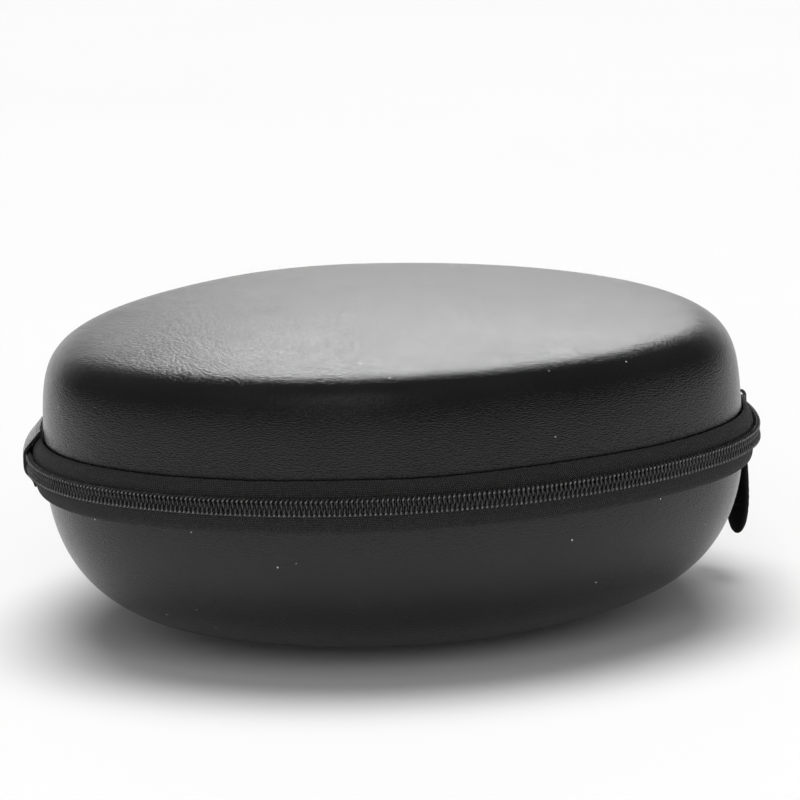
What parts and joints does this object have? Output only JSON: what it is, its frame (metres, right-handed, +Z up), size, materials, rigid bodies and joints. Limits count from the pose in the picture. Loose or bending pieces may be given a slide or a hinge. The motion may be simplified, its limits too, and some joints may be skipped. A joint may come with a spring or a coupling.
{
  "type": "headphone carrying case",
  "caption": "Hard clamshell case with a rounded bowl base, flat-topped lid, wrap-round coil zip with sliders and pulls, soft back hinge, lined cavity and lid pocket.",
  "frame": {"origin": "centre of the flat that the case rests on, which is also the centre of the plan outline", "axes": "+Z up, +Y towards the hinge, -Y towards the rounded apex of the plan"},
  "size_m": [0.1996, 0.2076, 0.0873],
  "materials": {
    "skin": "fine-grained black polyurethane leather, satin",
    "foam": "closed-cell moulded foam, matt",
    "lining": "short-pile brushed knit, matt",
    "binding": "ribbed woven tape, matt",
    "zip_tape": "woven herringbone polyester tape, matt",
    "zip_coil": "nylon monofilament coil, semi-gloss",
    "slider": "black painted die casting, satin",
    "steel": "bent wire staple",
    "tab": "moulded soft plastic, matt",
    "net": "open hexagonal knitted net",
    "elastic": "woven elastic, ribbed"
  },
  "bodies": {
    "base": {"base_skin": "skin", "base_shell": "foam", "base_lining": "lining", "base_rim_binding": "binding", "base_rim_welt": "binding", "base_zip_tape": "zip_tape", "base_zip_coil": "zip_coil", "hinge_spine_cover": "skin", "hinge_lining": "lining", "left_zip_end_stop": "steel", "right_zip_end_stop": "steel"},
    "lid": {"lid_skin": "skin", "lid_shell": "foam", "lid_lining": "lining", "lid_rim_binding": "binding", "lid_rim_welt": "binding", "lid_zip_tape": "zip_tape", "lid_zip_coil": "zip_coil", "pocket_net": "net", "pocket_binding": "binding", "pocket_elastic": "elastic"},
    "front_slider": {"front_slider_body": "slider", "front_slider_crown": "slider"},
    "front_ring": {"front_pull_ring": "slider"},
    "front_tab": {"front_pull_tab": "tab"},
    "rear_slider": {"rear_slider_body": "slider", "rear_slider_crown": "slider"},
    "rear_ring": {"rear_pull_ring": "slider"},
    "rear_tab": {"rear_pull_tab": "tab"}
  },
  "joints": [
    {"name": "lid_hinge", "type": "hinge", "parent": "base", "child": "lid", "pos_m": [0, 0.10014, 0.0528], "axis": [-1, 0, 0], "range_deg": [0, 100], "deforming": ["hinge_spine_cover", "hinge_lining", "lid_zip_tape", "lid_zip_coil"]},
    {"name": "front_slider_travel", "type": "hinge", "parent": "base", "child": "front_slider", "pos_m": [-0.02094, 0.00959, 0.0528], "axis": [0, 0, -1], "range_deg": [0, 17]},
    {"name": "front_ring_swing", "type": "hinge", "parent": "front_slider", "child": "front_ring", "pos_m": [0.05713, -0.08739, 0.0528], "axis": [-0.779, -0.6271, 0], "range_deg": [0, 170]},
    {"name": "front_tab_sway", "type": "hinge", "parent": "front_ring", "child": "front_tab", "pos_m": [0.05713, -0.08739, 0.0433], "axis": [-0.6271, 0.779, 0], "range_deg": [-3, 70]},
    {"name": "rear_slider_travel", "type": "hinge", "parent": "base", "child": "rear_slider", "pos_m": [-0.02094, 0.00959, 0.0528], "axis": [0, 0, 1], "range_deg": [0, 59]},
    {"name": "rear_ring_swing", "type": "hinge", "parent": "rear_slider", "child": "rear_ring", "pos_m": [0.06611, -0.07941, 0.0528], "axis": [-0.7149, -0.6992, 0], "range_deg": [0, 170]},
    {"name": "rear_tab_sway", "type": "hinge", "parent": "rear_ring", "child": "rear_tab", "pos_m": [0.06611, -0.07941, 0.0433], "axis": [0.6992, -0.7149, 0], "range_deg": [-3, 70]}
  ]
}
